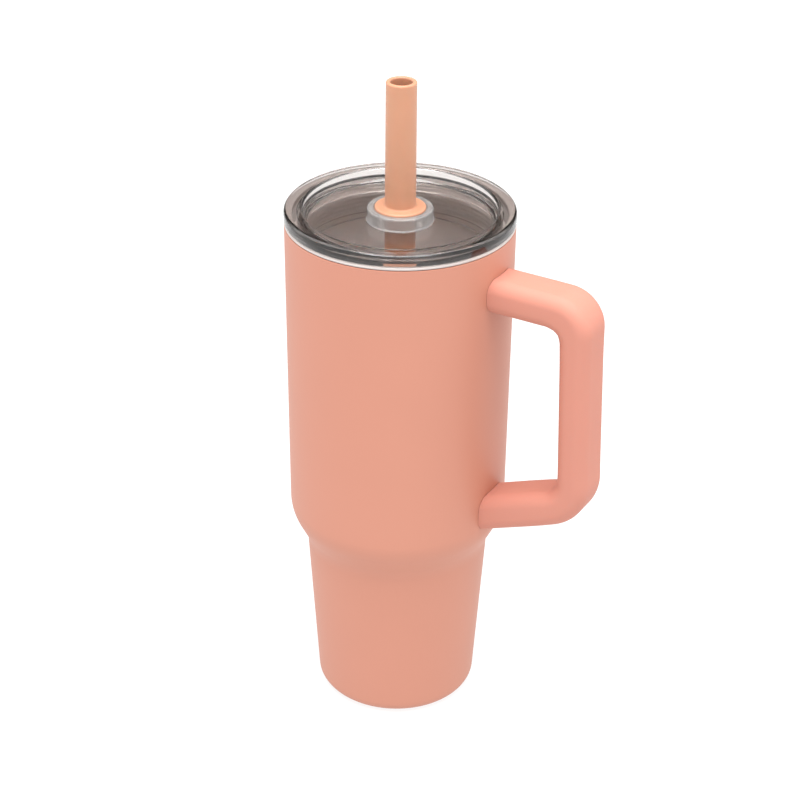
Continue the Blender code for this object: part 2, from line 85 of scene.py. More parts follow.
HANDLE_WIDTH, HANDLE_EDGE = 21.4, 5.7
UPPER_THICKNESS, GRIP_THICKNESS, LOWER_THICKNESS = 15.4, 14.1, 16.4
UPPER_ARM_LEVEL, LOWER_ARM_LEVEL, LOWER_ARM_RISE = 215.2, 108.3, 21.7
HANDLE_REACH, HANDLE_LEAN, HANDLE_GAP = 37.87, 3.3, 0.15
UPPER_BEND, LOWER_BEND = 8.95, 15.95
WEB_DEPTH, WEB_START, WEB_END = 1.5, 4.0, 11.5
TAPER_START, TAPER_END = 28.0, 68.0
SCREW_REACH, SHANK_HOLE_RADIUS, HEAD_HOLE_RADIUS, HEAD_HOLE_DEPTH = 9.0, 1.9, 3.8, 3.5
BRACKET_LENGTH, BRACKET_WIDTH, BRACKET_COVER, GAP = 15.0, 11.0, 5.0, 0.3


def wall_radius(height):
    """Outside radius of the shell's upper wall, which narrows a little downwards."""
    share = (height - SHOULDER_TOP) / (SHELL_TOP - SHOULDER_TOP)
    return MOUTH_RADIUS - WALL_TAPER * (1 - share)


print("wall radius at the upper arm:", round(wall_radius(UPPER_ARM_LEVEL), 2), "mm")

# %% [markdown]
# ## Outlines with rounded corners
# Sheet steel and moulded plastic have no perfectly sharp edges. Each outline is written
# as corners with a bend radius, and every bend becomes an arc. A support point just
# outside each arc keeps the straight run beside it truly flat when it is shaded smooth,
# which matters most in clear plastic, where a bent reflection is seen at once.

# %% Corner rounding
SUPPORT = 0.12


def bend_points(before, corner, after, bend, steps):
    """The arc that rounds one corner, with a support point on each side of it."""
    to_before = (before - corner).normalized()
    to_after = (after - corner).normalized()
    opening = to_before.angle(to_after)
    set_back = bend / math.tan(opening / 2)
    centre = corner + (to_before + to_after).normalized() * (bend / math.sin(opening / 2))
    start = corner + to_before * set_back - centre
    turn = start.angle_signed(corner + to_after * set_back - centre)
    arc = [centre + Matrix.Rotation(-turn * k / steps, 2) @ start for k in range(steps + 1)]
    room_before = (before - corner).length - set_back
    room_after = (after - corner).length - set_back
    if room_before > 3 * SUPPORT:
        arc.insert(0, corner + to_before * (set_back + SUPPORT))
    if room_after > 3 * SUPPORT:
        arc.append(corner + to_after * (set_back + SUPPORT))
    return arc


def rounded(corners, closed=True, steps=6):
    """Outline through (radius, height, bend) corners; long bends get more steps."""
    points = []
    for index, (radius, height, bend) in enumerate(corners):
        here = Vector((radius, height))
        at_end = not closed and index in (0, len(corners) - 1)
        if at_end or bend == 0:
            points.append(here)
            continue
        before = Vector(corners[index - 1][:2])
        after = Vector(corners[(index + 1) % len(corners)][:2])
        count = steps + int(bend)
        points.extend(bend_points(before, here, after, bend, count))
    return points


def moved_inwards(corners, inset):
    """The same open outline moved in by a sheet's thickness, its bends kept parallel."""
    flat = [Vector(corner[:2]) for corner in corners]
    lines = []
    for start, end in zip(flat[:-1], flat[1:]):
        along = (end - start).normalized()
        lines.append((start + Vector((along.y, -along.x)) * inset, along))
    result = []
    for index, corner in enumerate(corners):
        bend = corner[2]
        if index == 0:
            point, along = lines[0]
            moved = point + along * ((corner[1] - point.y) / along.y)
        elif index == len(corners) - 1:
            moved = lines[-1][0].copy()
            moved.x = corner[0]
        else:
            (first, along), (second, onward) = lines[index - 1], lines[index]
            moved = first + along * ((second - first).cross(onward) / along.cross(onward))
            if bend:
                outside = (flat[index] - flat[index - 1]).cross(flat[index + 1] - flat[index])
                bend += inset if outside > 0 else -inset
        result.append((moved.x, moved.y, bend))
    return result


SHELL_CORNERS = [
    (MOUTH_RADIUS, SHELL_TOP, 0),
    (wall_radius(SHOULDER_TOP), SHOULDER_TOP, SHOULDER_BEND),
    (WAIST_RADIUS, SHOULDER_TOP - SHOULDER_DROP, WAIST_BEND),
    (BASE_RADIUS, 0, HEEL_BEND),
    (0, 0, 0),
]
print("shell outline points:", len(rounded(SHELL_CORNERS, closed=False)))

# %% [markdown]
# ## One small function for nodes
# Every node tree here, for shapes and for finishes, is built with the same helper. It
# adds a node, sets the node's own choices, and fills each input with either a plain value
# or a link from another node's output.

# %% Node helper and colours


def add_node(tree, kind, inputs=None, **choices):
    """Add one node; an input given as a socket is linked, anything else is set."""
    node = tree.nodes.new(kind)
    for name, value in choices.items():
        setattr(node, name, value)
    for key, value in (inputs or {}).items():
        socket = node.inputs[key]
        if isinstance(value, bpy.types.NodeSocket):
            tree.links.new(value, socket)
        else:
            socket.default_value = value
    return node


def from_hex(code):
    """An sRGB hex colour as the linear values that a shader works with."""
    channels = [int(code[k:k + 2], 16) / 255 for k in (1, 3, 5)]
    linear = [c / 12.92 if c <= 0.04045 else ((c + 0.055) / 1.055) ** 2.4 for c in channels]
    return (*linear, 1.0)


CORAL = "#be806b"
print("coral in linear light:", [round(c, 3) for c in from_hex(CORAL)])

# %% [markdown]
# ## Finishes
# Each finish starts from what the real surface is and how it was made. The helper below
# makes a material with one Principled shader. Its constant values go straight on the
# shader's own sockets. Patterns are worked out from real sizes in millimetres on Object
# coordinates, which stay with the piece when it moves.

# %% Material helper


def new_material(name, values):
    """A material with one Principled shader, returned with its tree and shader."""
    material = bpy.data.materials.new(name)
    material.use_nodes = True
    tree = material.node_tree
    shader = tree.nodes["Principled BSDF"]
    for key, value in values.items():
        shader.inputs[key].default_value = value
    return material, tree, shader


def grain(tree, position, size_mm, detail=2.0, roughness=0.5):
    """Noise whose blobs are about size_mm across."""
    return add_node(tree, "ShaderNodeTexNoise", {
        "Vector": position, "Scale": 1 / (size_mm * MM), "Detail": detail,
        "Roughness": roughness})


def tinted(tree, base_hex, share, amount):
    """The base colour made a little lighter and darker by a 0-to-1 pattern."""
    base = Vector(from_hex(base_hex)[:3])
    return add_node(tree, "ShaderNodeMix", {
        "Factor": share,
        "A": (*(base * (1 - amount)), 1.0), "B": (*(base * (1 + amount)), 1.0)},
        data_type="RGBA")


def object_position(tree):
    return add_node(tree, "ShaderNodeTexCoord").outputs["Object"]


def bump(tree, height, distance_mm, strength=1.0, under=None):
    """Bump from a height pattern; distance is the real height between 0 and 1."""
    inputs = {"Height": height, "Distance": distance_mm * MM, "Strength": strength}
    if under is not None:
        inputs["Normal"] = under
    return add_node(tree, "ShaderNodeBump", inputs).outputs["Normal"]


# %% [markdown]
# ### Powder coat on steel
# Dry coral powder is sprayed on the earthed steel and baked, so it melts into one even
# skin about 0.08 mm thick. It flows out almost flat: the eye sees a soft satin colour with
# a faint orange peel about a millimetre across and a finer tooth under it, and a pale
# sheen where the wall turns away from the eye.

# %% Powder coat


def make_powder_coat(name, colour_hex):
    material, tree, shader = new_material(name, {
        "Roughness": 0.5, "IOR": 1.5, "Specular IOR Level": 0.5})
    position = object_position(tree)
    peel = grain(tree, position, size_mm=1.2, detail=1.0)
    tooth = grain(tree, position, size_mm=0.35)
    cloud = grain(tree, position, size_mm=35.0, detail=1.0)
    colour = tinted(tree, colour_hex, cloud.outputs["Fac"], amount=0.02)
    fine = bump(tree, tooth.outputs["Fac"], distance_mm=0.012)
    both = bump(tree, peel.outputs["Fac"], distance_mm=0.02, under=fine)
    tree.links.new(both, shader.inputs["Normal"])
    tree.links.new(colour.outputs["Result"], shader.inputs["Base Color"])
    rough = add_node(tree, "ShaderNodeMapRange", {
        "Value": tooth.outputs["Fac"], "To Min": 0.45, "To Max": 0.55})
    tree.links.new(rough.outputs["Result"], shader.inputs["Roughness"])
    return material


POWDER_COAT = make_powder_coat("coral_powder_coat_on_steel", CORAL)
print("finish:", POWDER_COAT.name)

# %% [markdown]
# ### Moulded handle plastic
# The handle is polypropylene coloured through to match the coat. It is moulded in a
# finely spark-eroded tool, which leaves a very fine even texture and a satin shine that
# is a little softer than the coat's.

# %% Handle plastic


def make_handle_plastic():
    material, tree, shader = new_material("coral_moulded_polypropylene", {
        "Roughness": 0.65, "IOR": 1.49, "Specular IOR Level": 0.35,
        "Subsurface Weight": 0.05, "Subsurface Scale": 0.002})
    position = object_position(tree)
    texture = grain(tree, position, size_mm=0.4, detail=3.0, roughness=0.6)
    cloud = grain(tree, position, size_mm=25.0, detail=1.0)
    colour = tinted(tree, "#c18170", cloud.outputs["Fac"], amount=0.015)
    tree.links.new(colour.outputs["Result"], shader.inputs["Base Color"])
    fine = bump(tree, texture.outputs["Fac"], distance_mm=0.015)
    tree.links.new(fine, shader.inputs["Normal"])
    rough = add_node(tree, "ShaderNodeMapRange", {
        "Value": texture.outputs["Fac"], "To Min": 0.6, "To Max": 0.7})
    tree.links.new(rough.outputs["Result"], shader.inputs["Roughness"])
    return material


HANDLE_PLASTIC = make_handle_plastic()
print("finish:", HANDLE_PLASTIC.name)

# %% [markdown]
# ### Stainless steel
# The liner is deep-drawn 18/8 stainless steel, blasted inside to an even, almost matt
# satin over the very fine rings that spinning left. Only its rolled lip is rubbed smoother,
# so it mirrors a little more of the room; its colour there is also painted a shade darker
# and warmer, a painted reflection of the dark room. The plate and the brackets are rolled
# steel, and the screws are zinc-plated.

# %% Stainless steels


def ring_position(tree, position):
    """Object position as (distance from the axis, height), for marks that run round."""
    parts = add_node(tree, "ShaderNodeSeparateXYZ", {"Vector": position})
    flat = add_node(tree, "ShaderNodeCombineXYZ", {
        "X": parts.outputs["X"], "Y": parts.outputs["Y"]})
    radius = add_node(tree, "ShaderNodeVectorMath", {0: flat.outputs["Vector"]},
                      operation="LENGTH")
    return add_node(tree, "ShaderNodeCombineXYZ", {
        "X": radius.outputs["Value"], "Z": parts.outputs["Z"]}).outputs["Vector"]


def polish_lip_and_paint_it_dark(material, colour_hex, roughness):
    """Change to a smoother finish from just under the rolled lip upwards, with a colour
    painted darker and warmer there as a painted reflection of the dark room.
    """
    tree = material.node_tree
    shader = tree.nodes["Principled BSDF"]
    parts = add_node(tree, "ShaderNodeSeparateXYZ", {"Vector": object_position(tree)})
    lip = add_node(tree, "ShaderNodeMapRange", {
        "Value": parts.outputs["Z"], "From Min": (LIP_LOW - 1.0) * MM,
        "From Max": (LIP_LOW - 0.5) * MM})
    # the lip's darker, warmer colour is painted reflection of the dark room; its lower
    # roughness is the real rubbed finish
    satin_colour = shader.inputs["Base Color"].links[0].from_socket
    colour = add_node(tree, "ShaderNodeMix", {
        0: lip.outputs["Result"], 6: satin_colour, 7: from_hex(colour_hex)},
        data_type="RGBA")
    tree.links.new(colour.outputs[2], shader.inputs["Base Color"])
    satin_roughness = shader.inputs["Roughness"].links[0].from_socket
    rough = add_node(tree, "ShaderNodeMix", {
        0: lip.outputs["Result"], 2: satin_roughness, 3: roughness})
    tree.links.new(rough.outputs[0], shader.inputs["Roughness"])


def make_turned_steel(name, colour_hex, roughness, ring_mm, depth_mm):
    material, tree, shader = new_material(name, {
        "Metallic": 1.0, "Roughness": roughness, "Base Color": from_hex(colour_hex)})
    position = object_position(tree)
    rings = grain(tree, ring_position(tree, position), ring_mm, detail=4.0, roughness=0.7)
    smear = grain(tree, position, size_mm=6.0)
    colour = tinted(tree, colour_hex, smear.outputs["Fac"], amount=0.04)
    tree.links.new(colour.outputs["Result"], shader.inputs["Base Color"])
    tree.links.new(bump(tree, rings.outputs["Fac"], depth_mm), shader.inputs["Normal"])
    rough = add_node(tree, "ShaderNodeMapRange", {
        "Value": rings.outputs["Fac"], "To Min": roughness - 0.06, "To Max": roughness + 0.06})
    tree.links.new(rough.outputs["Result"], shader.inputs["Roughness"])
    return material


LINER_STEEL = make_turned_steel(
    "satin_stainless_steel", "#f9f7f6", roughness=0.93, ring_mm=0.5, depth_mm=0.004)
# the lip's darker, warmer colour is a painted reflection; its roughness of 0.75 is the real
# smoother finish
polish_lip_and_paint_it_dark(LINER_STEEL, "#d9d2cf", roughness=0.75)
PLATE_STEEL = make_turned_steel(
    "rolled_stainless_steel", "#b9b4b0", roughness=0.35, ring_mm=0.8, depth_mm=0.004)
SCREW_STEEL = make_turned_steel(
    "zinc_plated_screw_steel", "#c3c5c6", roughness=0.3, ring_mm=0.3, depth_mm=0.006)
print("finishes:", LINER_STEEL.name, PLATE_STEEL.name, SCREW_STEEL.name)

# %% [markdown]
# ### Clear lid
# The lid is moulded clear copolyester with a light smoke-grey tint, which darkens with the
# depth of plastic that one looks through. It bends light strongly at its thick edges and
# is glossy, with very faint ripples left by the flow of the melt. The mould is finely
# textured at the collar and below the ceiling, so the collar is lightly frosted and the
# skirt is a little milky.

# %% Clear copolyester
FROST, FROST_SCATTER, SKIRT_SCATTER = 0.22, 0.8, 0.1


def make_clear_copolyester():
    material, tree, shader = new_material("smoke_clear_moulded_copolyester", {
        "Base Color": from_hex("#fffbf9"), "Roughness": 0.03, "IOR": 1.54,
        "Transmission Weight": 1.0})
    smoke = add_node(tree, "ShaderNodeVolumeAbsorption", {
        "Color": from_hex("#c3bfbd"), "Density": 70.0})
    tree.links.new(smoke.outputs["Volume"], tree.nodes["Material Output"].inputs["Volume"])
    position = object_position(tree)
    flow = grain(tree, position, size_mm=9.0, detail=1.0)
    ripple = bump(tree, flow.outputs["Fac"], distance_mm=0.005)
    tree.links.new(ripple, shader.inputs["Normal"])
    haze = grain(tree, position, size_mm=2.5, detail=3.0)
    gloss = add_node(tree, "ShaderNodeMapRange", {
        "Value": haze.outputs["Fac"], "To Min": 0.02, "To Max": 0.05})
    parts = add_node(tree, "ShaderNodeSeparateXYZ", {"Vector": ring_position(tree, position)})
    frosted = add_node(tree, "ShaderNodeMapRange", {
        "Value": parts.outputs["X"], "From Min": (COLLAR_RADIUS + 0.1) * MM,
        "From Max": (COLLAR_RADIUS + 0.6) * MM, "To Min": FROST, "To Max": 0.0})
    rough = add_node(tree, "ShaderNodeMath", {
        0: gloss.outputs["Result"], 1: frosted.outputs["Result"]}, operation="ADD")
    tree.links.new(rough.outputs[0], shader.inputs["Roughness"])
    skirt = add_node(tree, "ShaderNodeMapRange", {
        "Value": parts.outputs["Z"], "From Min": (LID_CEILING - 2) * MM,
        "From Max": (LID_CEILING - 1) * MM, "To Min": SKIRT_SCATTER, "To Max": 0.0})
    milky = add_node(tree, "ShaderNodeMath", {
        0: frosted.outputs["Result"], 1: FROST_SCATTER}, operation="MULTIPLY")
    scattered = add_node(tree, "ShaderNodeMath", {
        0: milky.outputs[0], 1: skirt.outputs["Result"]}, operation="MAXIMUM")
    through = add_node(tree, "ShaderNodeMath", {0: 1.0, 1: scattered.outputs[0]},
                       operation="SUBTRACT")
    tree.links.new(through.outputs[0], shader.inputs["Transmission Weight"])
    return material


CLEAR_COPOLYESTER = make_clear_copolyester()
print("finish:", CLEAR_COPOLYESTER.name)

# %% [markdown]
# ### Silicones and the straw's plastic
# Silicone rubber has a soft, faintly powdery shine. The seal ring is filled natural white,
# so it reads as a pale band behind the lid's clear skirt. The mouthpiece is coloured peach
# and lets a little light sink in. The long lower tube is extruded polypropylene of the
# same colour, with faint lines along its length from the die.

# %% Silicones and tube plastic


def make_silicone(name, colour_hex, roughness, subsurface):
    material, tree, shader = new_material(name, {
        "Base Color": from_hex(colour_hex), "Roughness": roughness, "IOR": 1.41,
        "Subsurface Weight": subsurface, "Subsurface Scale": 0.003,
        "Sheen Weight": 0.05, "Sheen Roughness": 0.5})
    position = object_position(tree)
    texture = grain(tree, position, size_mm=0.5)
    cloud = grain(tree, position, size_mm=8.0, detail=1.0)
    colour = tinted(tree, colour_hex, cloud.outputs["Fac"], amount=0.02)
    tree.links.new(colour.outputs["Result"], shader.inputs["Base Color"])
    fine = bump(tree, texture.outputs["Fac"], distance_mm=0.01)
    tree.links.new(fine, shader.inputs["Normal"])
    return material


def make_tube_plastic():
    material, tree, shader = new_material("peach_extruded_polypropylene", {
        "Roughness": 0.3, "IOR": 1.49, "Subsurface Weight": 0.15,
        "Subsurface Scale": 0.002})
    position = object_position(tree)
    drawn = add_node(tree, "ShaderNodeMapping", {
        "Vector": position, "Scale": (1.0, 1.0, 0.02)})
    lines = grain(tree, drawn.outputs["Vector"], size_mm=0.4)
    colour = tinted(tree, "#c48f70", lines.outputs["Fac"], amount=0.03)
    tree.links.new(colour.outputs["Result"], shader.inputs["Base Color"])
    grooves = bump(tree, lines.outputs["Fac"], distance_mm=0.01)
    tree.links.new(grooves, shader.inputs["Normal"])
    return material


SEAL_SILICONE = make_silicone(
    "natural_white_seal_silicone", "#fdfbf9", roughness=0.4, subsurface=0.0)
PEACH_SILICONE = make_silicone(
    "peach_mouthpiece_silicone", "#c08b6e", roughness=0.45, subsurface=0.15)
TUBE_PLASTIC = make_tube_plastic()
print("finishes:", SEAL_SILICONE.name, PEACH_SILICONE.name, TUBE_PLASTIC.name)

# %% [markdown]
# ### Hidden finishes
# Under the cover the vacuum hole is closed with a bead of solder, and a pressed pill of
# getter alloy inside the wall soaks up the last gas. Nobody sees them on the finished
# cup, but each still has the finish of what it is.

# %% Solder and getter alloy


def make_cast_metal(name, colour_hex, roughness, metallic, lump_mm, depth_mm):
    material, tree, shader = new_material(name, {
        "Metallic": metallic, "Roughness": roughness})
    lumps = grain(tree, object_position(tree), lump_mm, detail=3.0)
    colour = tinted(tree, colour_hex, lumps.outputs["Fac"], amount=0.12)
    tree.links.new(colour.outputs["Result"], shader.inputs["Base Color"])
    tree.links.new(bump(tree, lumps.outputs["Fac"], depth_mm), shader.inputs["Normal"])
    return material


SOLDER = make_cast_metal(
    "tin_solder_bead", "#b4b4b6", roughness=0.35, metallic=1.0, lump_mm=1.5, depth_mm=0.05)
GETTER_ALLOY = make_cast_metal(
    "pressed_getter_powder_metal", "#77777a", roughness=0.75, metallic=0.7, lump_mm=0.3,
    depth_mm=0.03)
print("finishes:", SOLDER.name, GETTER_ALLOY.name)

# %% [markdown]
# ## Turning a piece
# Most of this object is round, and a lathe's rule describes it: an outline is carried
# once round the axis. The node tree below does that. It takes the outline as the piece's
# own edges, lays it out as the section of a ring, sweeps the ring, merges what meets on
# the axis and gives it its material. Its input is the number of steps round.

# %% The turning tree
RING, MERGE = 0.02, 0.000002


def new_tree(name, sockets):
    """A Geometry Nodes tree with a Geometry input and output and the named inputs."""
    tree = bpy.data.node_groups.new(name, "GeometryNodeTree")
    tree.interface.new_socket("Geometry", in_out="INPUT", socket_type="NodeSocketGeometry")
    tree.interface.new_socket("Geometry", in_out="OUTPUT", socket_type="NodeSocketGeometry")
    for label, kind in sockets.items():
        tree.interface.new_socket(label, in_out="INPUT", socket_type="NodeSocket" + kind)
    source = add_node(tree, "NodeGroupInput")
    return tree, source


def close_tree(tree, source, geometry):
    """Realize Instances, smooth shading and Set Material, then the output."""
    real = add_node(tree, "GeometryNodeRealizeInstances", {"Geometry": geometry})
    smooth = add_node(tree, "GeometryNodeSetShadeSmooth", {"Geometry": real.outputs[0]})
    finish = add_node(tree, "GeometryNodeSetMaterial", {
        "Geometry": smooth.outputs[0], "Material": source.outputs["Material"]})
    add_node(tree, "NodeGroupOutput", {"Geometry": finish.outputs[0]})


def make_turning_tree():
    tree, source = new_tree("turning", {"Steps round": "Int", "Material": "Material"})
    place = add_node(tree, "GeometryNodeInputPosition")
    parts = add_node(tree, "ShaderNodeSeparateXYZ", {"Vector": place.outputs[0]})
    inwards = add_node(tree, "ShaderNodeMath", {0: parts.outputs["X"], 1: RING},
                       operation="SUBTRACT")
    down = add_node(tree, "ShaderNodeMath", {0: parts.outputs["Z"], 1: -1.0},
                    operation="MULTIPLY")
    flat = add_node(tree, "ShaderNodeCombineXYZ", {
        "X": inwards.outputs[0], "Y": down.outputs[0]})
    laid = add_node(tree, "GeometryNodeSetPosition", {
        "Geometry": source.outputs["Geometry"], "Position": flat.outputs[0]})
    section = add_node(tree, "GeometryNodeMeshToCurve", {0: laid.outputs[0]})
    circle = add_node(tree, "GeometryNodeCurvePrimitiveCircle", {
        "Resolution": source.outputs["Steps round"], "Radius": RING})
    upright = add_node(tree, "GeometryNodeSetCurveNormal", {
        "Curve": circle.outputs["Curve"]}, mode="Z_UP")
    swept = add_node(tree, "GeometryNodeCurveToMesh", {
        "Curve": upright.outputs[0], "Profile Curve": section.outputs[0]})
    merged = add_node(tree, "GeometryNodeMergeByDistance", {
        "Geometry": swept.outputs[0], "Distance": MERGE})
    close_tree(tree, source, merged.outputs[0])
    return tree


TURNING = make_turning_tree()
print("tree:", TURNING.name, "with", len(TURNING.nodes), "nodes")


def set_input(modifier, label, value):
    """Set a modifier's input by its socket's identifier."""
    for item in modifier.node_group.interface.items_tree:
        if item.name == label and item.in_out == "INPUT":
            modifier[item.identifier] = value


CREASE = math.radians(30)


def plain_mesh(obj, name):
    """The object's evaluated result as a plain mesh, faces outwards, hard corners sharp."""
    evaluated = obj.evaluated_get(bpy.context.evaluated_depsgraph_get())
    mesh = bpy.data.meshes.new_from_object(evaluated)
    mesh.name = name
    materials = [m for m in mesh.materials if m]
    bpy.data.objects.remove(obj)
    build = bmesh.new()
    build.from_mesh(mesh)
    bmesh.ops.remove_doubles(build, verts=build.verts, dist=MERGE)
    bmesh.ops.recalc_face_normals(build, faces=build.faces)
    build.to_mesh(mesh)
    build.free()
    mesh.materials.clear()
    mesh.materials.append(materials[0])
    mesh.shade_smooth()
    mesh.set_sharp_from_angle(angle=CREASE)
    piece = bpy.data.objects.new(name, mesh)
    bpy.context.scene.collection.objects.link(piece)
    return piece


def node_object(name, tree, points, edges, values):
    """An object of bare edges with a Geometry Nodes modifier and its inputs set."""
    mesh = bpy.data.meshes.new(name)
    mesh.from_pydata(points, edges, [])
    obj = bpy.data.objects.new(name, mesh)
    bpy.context.scene.collection.objects.link(obj)
    modifier = obj.modifiers.new(tree.name, "NODES")
    modifier.node_group = tree
    for label, value in values.items():
        set_input(modifier, label, value)
    return obj


def outline_object(name, outline, material, steps, closed):
    """The outline as edges in the XZ plane, in metres, under the turning tree."""
    points = [(p[0] * MM, 0.0, p[1] * MM) for p in outline]
    edges = [(k, k + 1) for k in range(len(points) - 1)]
    if closed:
        edges.append((len(points) - 1, 0))
    return node_object(name, TURNING, points, edges,
                       {"Steps round": steps, "Material": material})


def turned(name, outline, material, steps=192, closed=True):
    piece = plain_mesh(outline_object(name, outline, material, steps, closed), name)
    print(f"{name}: {len(outline)} outline points, {len(piece.data.polygons)} faces")
    return piece


# %% [markdown]
# ## The cup's outer shell
# A drawn and necked steel tube, 0.8 mm thick, with a straight upper wall, a round shoulder
# and a tapered lower body that fits a cup holder. Both sides of the sheet are modelled,
# so the wall has its real thickness, and it ends in a ring foot round the base cover.

# %% Outer shell
shell_in = moved_inwards(SHELL_CORNERS, SHELL_WALL)
shell_loop = [
    (*SHELL_CORNERS[0][:2], SHEET_EDGE), *SHELL_CORNERS[1:4],
    (FOOT_RADIUS, 0, SHEET_EDGE), (FOOT_RADIUS, SHELL_WALL, SHEET_EDGE),
    *shell_in[3:0:-1], (*shell_in[0][:2], SHEET_EDGE)]
outer_shell = turned("powder_coated_shell", rounded(shell_loop, steps=8), POWDER_COAT)

# %% [markdown]
# ## The steel liner and its lip
# The liner is a second drawn cup inside the first. At the mouth its edge is rolled
# outwards over the shell and rubbed smooth, and that thin pale ring is what shows between
# the coral wall and the lid.

# %% Liner


def liner_side(inset, floor):
    """The shell's outline moved in, with its bottom raised to a floor on the same wall."""
    corners = moved_inwards(SHELL_CORNERS, inset)
    share = floor / (SHOULDER_TOP - SHOULDER_DROP)
    heel = BASE_RADIUS + (WAIST_RADIUS - BASE_RADIUS) * share - inset
    raised = corners[:3] + [(heel, floor, corners[3][2]), (0, floor, 0)]
    return rounded(raised, closed=False)


liner_out = liner_side(LINER_OFFSET, LINER_FLOOR)
liner_in = liner_side(LINER_OFFSET + LINER_WALL, LINER_FLOOR + LINER_WALL)
mouth = liner_in[0].x
rim = rounded([
    (mouth, SHELL_TOP, 0), (mouth, LIP_TOP, LIP_BEND), (MOUTH_RADIUS, LIP_TOP, LIP_BEND),
    (MOUTH_RADIUS, LIP_LOW, SHEET_EDGE), (liner_out[0].x, LIP_LOW, 0)], closed=False)
liner_outline = [*liner_in[::-1], *rim[1:], *liner_out[1:]]
liner = turned("stainless_liner", liner_outline, LINER_STEEL, closed=False)

# %% [markdown]
# ## The clear lid
# One moulding: a thick flange on the lip, a shallow well, a collar that holds the straw's
# stop, and a skirt that goes down inside the mouth with a groove for the seal. It is a
# closed solid, so light bends as it goes in and comes out of each wall.

# %% Lid body
LID_CORNERS = [
    (FLANGE_RADIUS, LID_TOP, 1.7), (FLANGE_RADIUS, FLANGE_LOW, 0.5),
    (SKIRT_OUTSIDE, FLANGE_LOW, 0.3), (SKIRT_OUTSIDE, GROOVE_HIGH, 0.15),
    (GROOVE_RADIUS, GROOVE_HIGH, 0.15), (GROOVE_RADIUS, GROOVE_LOW, 0.15),
    (SKIRT_OUTSIDE, GROOVE_LOW, 0.15), (SKIRT_OUTSIDE, SKIRT_END, 0.8),
    (SKIRT_INSIDE, SKIRT_END, 0.5), (SKIRT_INSIDE, LID_CEILING, 1.5),
    (HOLE_RADIUS, LID_CEILING, 0.2), (HOLE_RADIUS, SEAT_LEVEL, 0.15),
    (SEAT_RADIUS, SEAT_LEVEL, 0.15), (SEAT_RADIUS, COLLAR_TOP, 0.4),
    (COLLAR_RADIUS, COLLAR_TOP, 0.6), (COLLAR_RADIUS, WELL_FLOOR, 0.6),
    (WELL_RADIUS, WELL_FLOOR, 3.0), (WELL_RADIUS, LID_TOP, 1.1),
]
lid = turned("clear_lid", rounded(LID_CORNERS), CLEAR_COPOLYESTER)

# %% [markdown]
# ## The lid's seal
# A soft ring in the skirt's groove, with fins that bend against the steel as the lid goes
# in. The fins repeat at an even pitch, each one a thin lip that slopes back to the ring.
# The side against the skirt has sharp little ridges that grip the groove, and they show
# through the clear wall as fine rings.

# %% Seal
pitch = (SEAL_HIGH - SEAL_LOW) / SEAL_FINS
tip_high, tip_low, fin_root = 0.15 * pitch, 0.35 * pitch, 0.6 * pitch
seal_corners = [(SEAL_INSIDE, SEAL_HIGH, SEAL_CORNER), (SEAL_BACK, SEAL_HIGH, SEAL_CREASE)]
for fin in range(SEAL_FINS):
    top = SEAL_HIGH - fin * pitch
    seal_corners += [
        (SEAL_TIP, top - tip_high, SEAL_CORNER), (SEAL_TIP, top - tip_low, SEAL_CORNER),
        (SEAL_BACK, top - fin_root, SEAL_CREASE),
    ]
seal_corners += [(SEAL_BACK, SEAL_LOW, SEAL_CREASE), (SEAL_INSIDE, SEAL_LOW, SEAL_CORNER)]
tooth = (SEAL_HIGH - SEAL_LOW - 2 * TOOTH_MARGIN) / SEAL_TEETH
for index in range(SEAL_TEETH):
    level = SEAL_LOW + TOOTH_MARGIN + index * tooth
    seal_corners += [
        (SEAL_INSIDE, level + 0.45 * tooth, 0),
        (SEAL_INSIDE + TOOTH_DEPTH, level + 0.85 * tooth, 0),
        (SEAL_INSIDE, level + tooth, 0),
    ]
seal = turned("lid_seal_ring", rounded(seal_corners, steps=3), SEAL_SILICONE)

# %% [markdown]
# ## The straw
# The mouthpiece is one silicone moulding with a round stop disc that sits in the lid's
# collar and a socket below for the stiff tube, which reaches down near the cup's floor.

# %% Straw mouthpiece and tube
mouthpiece_corners = [
    (TIP_RADIUS, STRAW_TOP, 0.8), (MOUTHPIECE_RADIUS, STOP_TOP, 0.8),
    (STOP_RADIUS, STOP_TOP, 0.8), (STOP_RADIUS, STOP_LOW, 0.5),
    (MOUTHPIECE_RADIUS, STOP_LOW, 0.1), (MOUTHPIECE_RADIUS, MOUTHPIECE_END, 0.3),
    (SOCKET_RADIUS, MOUTHPIECE_END, 0.2), (SOCKET_RADIUS, SOCKET_TOP, 0.1),
    (STRAW_BORE, SOCKET_TOP, 0.1), (STRAW_BORE, STRAW_TOP, 0.8),
]
mouthpiece = turned("silicone_mouthpiece", rounded(mouthpiece_corners), PEACH_SILICONE, 96)
tube_corners = [
    (TUBE_RADIUS, TUBE_TOP, 0.2), (TUBE_RADIUS, TUBE_LOW, 0.3),
    (TUBE_BORE, TUBE_LOW, 0.2), (TUBE_BORE, TUBE_TOP, 0.2),
]
straw_tube = turned("straw_lower_tube", rounded(tube_corners), TUBE_PLASTIC, 96)

# %% [markdown]
# ## The base cover
# A thin coated disc closes the underside inside the foot ring. Its edge is slightly
# broken, and its middle is a shallow step higher than its rim, so it doesn't rock on the
# table.

# %% Base cover
rim_inside = COVER_RADIUS - COVER_RIM
cover_corners = [
    (0, COVER_THICKNESS, 0), (COVER_RADIUS, COVER_THICKNESS, 0.15), (COVER_RADIUS, 0, 0.25),
    (rim_inside, 0, 0.2), (rim_inside - COVER_BEVEL, COVER_STEP, 0.2), (0, COVER_STEP, 0),
]
base_cover = turned("coated_base_cover", rounded(cover_corners, closed=False), POWDER_COAT,
                    closed=False)

